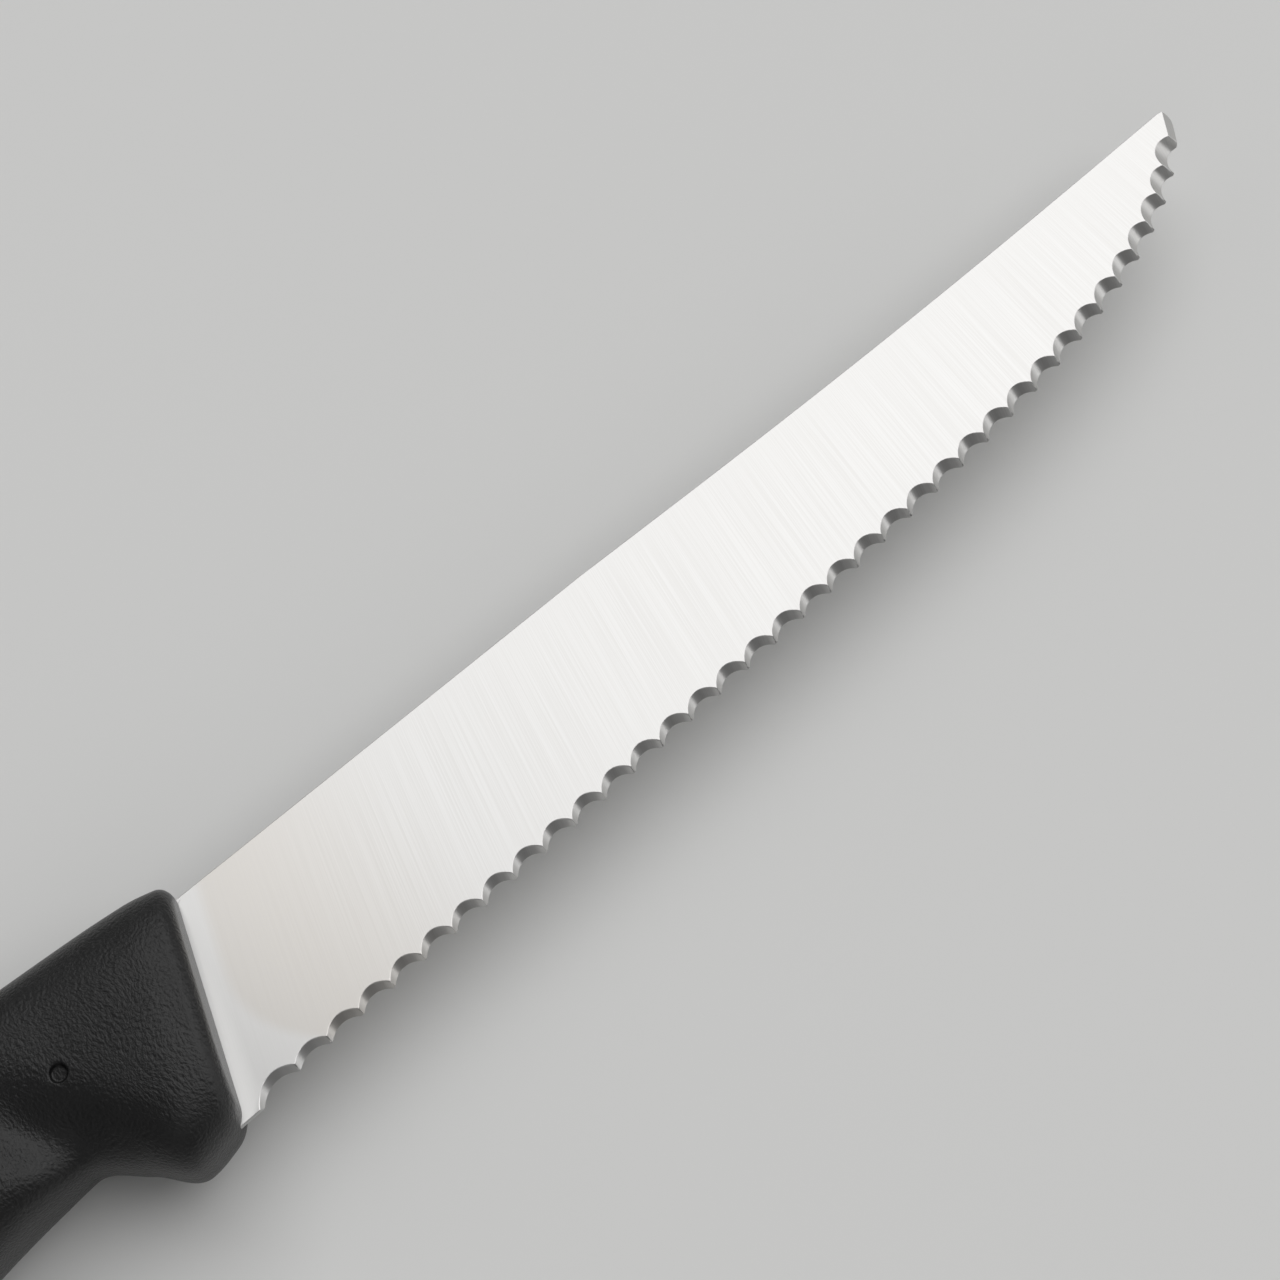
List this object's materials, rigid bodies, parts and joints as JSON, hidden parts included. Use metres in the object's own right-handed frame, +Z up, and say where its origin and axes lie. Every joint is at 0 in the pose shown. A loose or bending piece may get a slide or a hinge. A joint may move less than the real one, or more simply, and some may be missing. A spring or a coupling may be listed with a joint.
{
  "type": "steak knife",
  "caption": "Steak knife with a taper-ground steel blade, scalloped along the edge from one face, and a moulded black plastic handle with a finger guard.",
  "frame": {"origin": "under the middle of the whole knife, as it lies on its flank", "axes": "+X along the blade towards the point, +Y towards the spine, +Z up through the face that the scallops are ground from"},
  "size_m": [0.2386, 0.027, 0.0168],
  "materials": {
    "blade_steel": "fine grinding lines across the blade",
    "handle_plastic": "fine pebbled moulding grain"
  },
  "bodies": {
    "root": {"blade": "blade_steel", "handle": "handle_plastic"}
  },
  "joints": []
}
